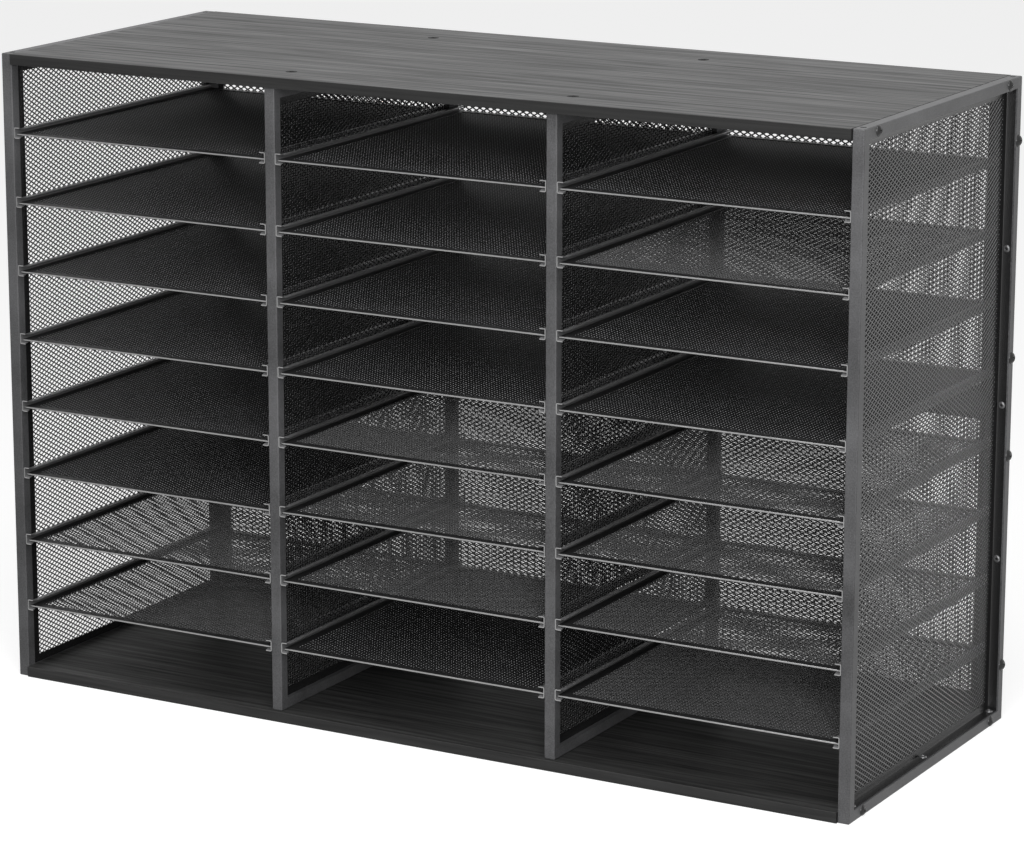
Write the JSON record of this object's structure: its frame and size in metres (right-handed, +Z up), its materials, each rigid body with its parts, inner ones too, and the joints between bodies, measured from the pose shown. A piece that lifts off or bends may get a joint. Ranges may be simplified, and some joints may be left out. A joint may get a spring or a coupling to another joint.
{
  "type": "mail sorter",
  "caption": "Tabletop pigeonhole mail sorter: wood-grain top and bottom boards, black tube frames with expanded mesh sides and back, and removable mesh shelves in channels.",
  "frame": {"origin": "on the floor, under the middle of the side frames' depth and of the case's width", "axes": "+X to the right seen from the front, -Y out of the open front, +Z up"},
  "size_m": [0.791, 0.3076, 0.54],
  "materials": {
    "board": "satin wood-grain laminate",
    "frame": "satin black powder coat",
    "mesh": "satin black powder coat on expanded mesh",
    "channel": "satin dark grey paint",
    "shelf": "satin black powder coat on expanded mesh",
    "screw": "gloss black",
    "rivet": "satin black"
  },
  "bodies": {
    "case": {"bottom_board": "board", "bottom_board_screws": "screw", "left_back_screws": "screw", "left_divider_frame": "frame", "left_divider_left_channels": "channel", "left_divider_mesh": "mesh", "left_divider_right_channels": "channel", "left_mesh_rivets": "rivet", "left_side_channels": "channel", "left_side_frame": "frame", "left_side_mesh": "mesh", "left_side_screws": "screw", "lower_back_frame": "frame", "lower_back_mesh": "mesh", "right_back_screws": "screw", "right_divider_frame": "frame", "right_divider_left_channels": "channel", "right_divider_mesh": "mesh", "right_divider_right_channels": "channel", "right_mesh_rivets": "rivet", "right_side_channels": "channel", "right_side_frame": "frame", "right_side_mesh": "mesh", "right_side_screws": "screw", "top_board": "board", "top_board_screws": "screw", "upper_back_frame": "frame", "upper_back_mesh": "mesh"},
    "shelf_left_1": {"shelf_left_1": "shelf"},
    "shelf_left_2": {"shelf_left_2": "shelf"},
    "shelf_left_3": {"shelf_left_3": "shelf"},
    "shelf_left_4": {"shelf_left_4": "shelf"},
    "shelf_left_5": {"shelf_left_5": "shelf"},
    "shelf_left_6": {"shelf_left_6": "shelf"},
    "shelf_left_7": {"shelf_left_7": "shelf"},
    "shelf_left_8": {"shelf_left_8": "shelf"},
    "shelf_middle_1": {"shelf_middle_1": "shelf"},
    "shelf_middle_2": {"shelf_middle_2": "shelf"},
    "shelf_middle_3": {"shelf_middle_3": "shelf"},
    "shelf_middle_4": {"shelf_middle_4": "shelf"},
    "shelf_middle_5": {"shelf_middle_5": "shelf"},
    "shelf_middle_6": {"shelf_middle_6": "shelf"},
    "shelf_middle_7": {"shelf_middle_7": "shelf"},
    "shelf_middle_8": {"shelf_middle_8": "shelf"},
    "shelf_right_1": {"shelf_right_1": "shelf"},
    "shelf_right_2": {"shelf_right_2": "shelf"},
    "shelf_right_3": {"shelf_right_3": "shelf"},
    "shelf_right_4": {"shelf_right_4": "shelf"},
    "shelf_right_5": {"shelf_right_5": "shelf"},
    "shelf_right_6": {"shelf_right_6": "shelf"},
    "shelf_right_7": {"shelf_right_7": "shelf"},
    "shelf_right_8": {"shelf_right_8": "shelf"}
  },
  "joints": [
    {"name": "shelf_left_1_slide", "type": "slide", "parent": "case", "child": "shelf_left_1", "axis": [0, -1, 0], "range_m": [0, 0.25]},
    {"name": "shelf_left_2_slide", "type": "slide", "parent": "case", "child": "shelf_left_2", "axis": [0, -1, 0], "range_m": [0, 0.25]},
    {"name": "shelf_left_3_slide", "type": "slide", "parent": "case", "child": "shelf_left_3", "axis": [0, -1, 0], "range_m": [0, 0.25]},
    {"name": "shelf_left_4_slide", "type": "slide", "parent": "case", "child": "shelf_left_4", "axis": [0, -1, 0], "range_m": [0, 0.25]},
    {"name": "shelf_left_5_slide", "type": "slide", "parent": "case", "child": "shelf_left_5", "axis": [0, -1, 0], "range_m": [0, 0.25]},
    {"name": "shelf_left_6_slide", "type": "slide", "parent": "case", "child": "shelf_left_6", "axis": [0, -1, 0], "range_m": [0, 0.25]},
    {"name": "shelf_left_7_slide", "type": "slide", "parent": "case", "child": "shelf_left_7", "axis": [0, -1, 0], "range_m": [0, 0.25]},
    {"name": "shelf_left_8_slide", "type": "slide", "parent": "case", "child": "shelf_left_8", "axis": [0, -1, 0], "range_m": [0, 0.25]},
    {"name": "shelf_middle_1_slide", "type": "slide", "parent": "case", "child": "shelf_middle_1", "axis": [0, -1, 0], "range_m": [0, 0.25]},
    {"name": "shelf_middle_2_slide", "type": "slide", "parent": "case", "child": "shelf_middle_2", "axis": [0, -1, 0], "range_m": [0, 0.25]},
    {"name": "shelf_middle_3_slide", "type": "slide", "parent": "case", "child": "shelf_middle_3", "axis": [0, -1, 0], "range_m": [0, 0.25]},
    {"name": "shelf_middle_4_slide", "type": "slide", "parent": "case", "child": "shelf_middle_4", "axis": [0, -1, 0], "range_m": [0, 0.25]},
    {"name": "shelf_middle_5_slide", "type": "slide", "parent": "case", "child": "shelf_middle_5", "axis": [0, -1, 0], "range_m": [0, 0.25]},
    {"name": "shelf_middle_6_slide", "type": "slide", "parent": "case", "child": "shelf_middle_6", "axis": [0, -1, 0], "range_m": [0, 0.25]},
    {"name": "shelf_middle_7_slide", "type": "slide", "parent": "case", "child": "shelf_middle_7", "axis": [0, -1, 0], "range_m": [0, 0.25]},
    {"name": "shelf_middle_8_slide", "type": "slide", "parent": "case", "child": "shelf_middle_8", "axis": [0, -1, 0], "range_m": [0, 0.25]},
    {"name": "shelf_right_1_slide", "type": "slide", "parent": "case", "child": "shelf_right_1", "axis": [0, -1, 0], "range_m": [0, 0.25]},
    {"name": "shelf_right_2_slide", "type": "slide", "parent": "case", "child": "shelf_right_2", "axis": [0, -1, 0], "range_m": [0, 0.25]},
    {"name": "shelf_right_3_slide", "type": "slide", "parent": "case", "child": "shelf_right_3", "axis": [0, -1, 0], "range_m": [0, 0.25]},
    {"name": "shelf_right_4_slide", "type": "slide", "parent": "case", "child": "shelf_right_4", "axis": [0, -1, 0], "range_m": [0, 0.25]},
    {"name": "shelf_right_5_slide", "type": "slide", "parent": "case", "child": "shelf_right_5", "axis": [0, -1, 0], "range_m": [0, 0.25]},
    {"name": "shelf_right_6_slide", "type": "slide", "parent": "case", "child": "shelf_right_6", "axis": [0, -1, 0], "range_m": [0, 0.25]},
    {"name": "shelf_right_7_slide", "type": "slide", "parent": "case", "child": "shelf_right_7", "axis": [0, -1, 0], "range_m": [0, 0.25]},
    {"name": "shelf_right_8_slide", "type": "slide", "parent": "case", "child": "shelf_right_8", "axis": [0, -1, 0], "range_m": [0, 0.25]}
  ]
}
